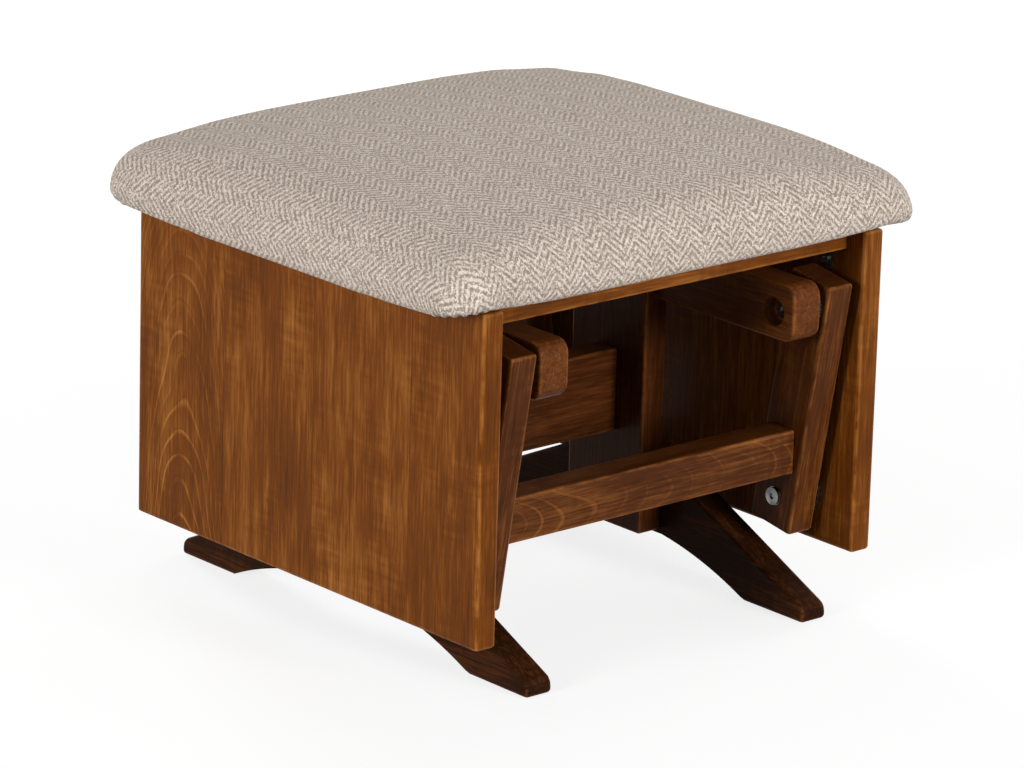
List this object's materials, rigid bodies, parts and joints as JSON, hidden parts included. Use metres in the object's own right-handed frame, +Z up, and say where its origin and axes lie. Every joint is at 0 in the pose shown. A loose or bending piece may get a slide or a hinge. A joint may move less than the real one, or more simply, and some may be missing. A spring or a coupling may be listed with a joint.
{
  "type": "glider ottoman",
  "caption": "Upholstered footstool that glides: a padded seat on side panels hangs on pivoting wooden links from a fixed base with arched feet",
  "frame": {"origin": "on the floor under the middle of the ottoman", "axes": "+X to the right side panel, +Y to the back, +Z up; it glides along Y"},
  "size_m": [0.509, 0.472, 0.402],
  "materials": {
    "base_wood": "satin, dark stain",
    "swing_wood": "satin, brown stain",
    "panel_wood": "satin, brown stain",
    "dowel_wood": "bare",
    "plywood": "bare",
    "hardware_steel": "bright zinc",
    "foam": "open-cell foam",
    "upholstery": "herringbone weave"
  },
  "bodies": {
    "base": {"left_foot": "base_wood", "right_foot": "base_wood", "left_upright": "base_wood", "right_upright": "base_wood", "left_top_rail": "base_wood", "right_top_rail": "base_wood", "cross_stretcher": "base_wood", "foot_screws": "hardware_steel", "top_rail_screws": "hardware_steel", "stretcher_screws": "hardware_steel", "top_pivot_bolts": "hardware_steel", "top_pivot_spacers": "hardware_steel", "top_pivot_nuts": "hardware_steel"},
    "front_frame": {"front_left_link": "swing_wood", "front_right_link": "swing_wood", "front_cross_rail": "swing_wood", "front_bearings": "hardware_steel", "front_frame_screws": "hardware_steel"},
    "rear_frame": {"rear_left_link": "swing_wood", "rear_right_link": "swing_wood", "rear_cross_rail": "swing_wood", "rear_bearings": "hardware_steel", "rear_frame_screws": "hardware_steel"},
    "glide_box": {"left_panel": "panel_wood", "right_panel": "panel_wood", "front_seat_rail": "panel_wood", "rear_seat_rail": "panel_wood", "seat_rail_dowels": "dowel_wood", "corner_brackets": "hardware_steel", "bracket_screws": "hardware_steel", "seat_board": "plywood", "seat_board_screws": "hardware_steel", "seat_foam": "foam", "seat_cover": "upholstery", "panel_inserts": "hardware_steel", "low_pivot_bolts": "hardware_steel", "low_pivot_spacers": "hardware_steel"}
  },
  "joints": [
    {"name": "front_swing", "type": "hinge", "parent": "base", "child": "front_frame", "pos_m": [0, -0.1915, 0.265], "axis": [1, 0, 0], "range_deg": [-12, 12]},
    {"name": "rear_swing", "type": "hinge", "parent": "base", "child": "rear_frame", "pos_m": [0, 0.1915, 0.265], "axis": [1, 0, 0], "range_deg": [-12, 12]},
    {"name": "glide", "type": "hinge", "parent": "front_frame", "child": "glide_box", "pos_m": [0, -0.163, 0.092], "axis": [1, 0, 0], "range_deg": [-14.1, 14.1]}
  ],
  "couplings": [
    {"joint": "rear_swing", "follows": "front_swing", "ratio": 1},
    {"joint": "glide", "follows": "front_swing", "ratio": -1.1728}
  ]
}
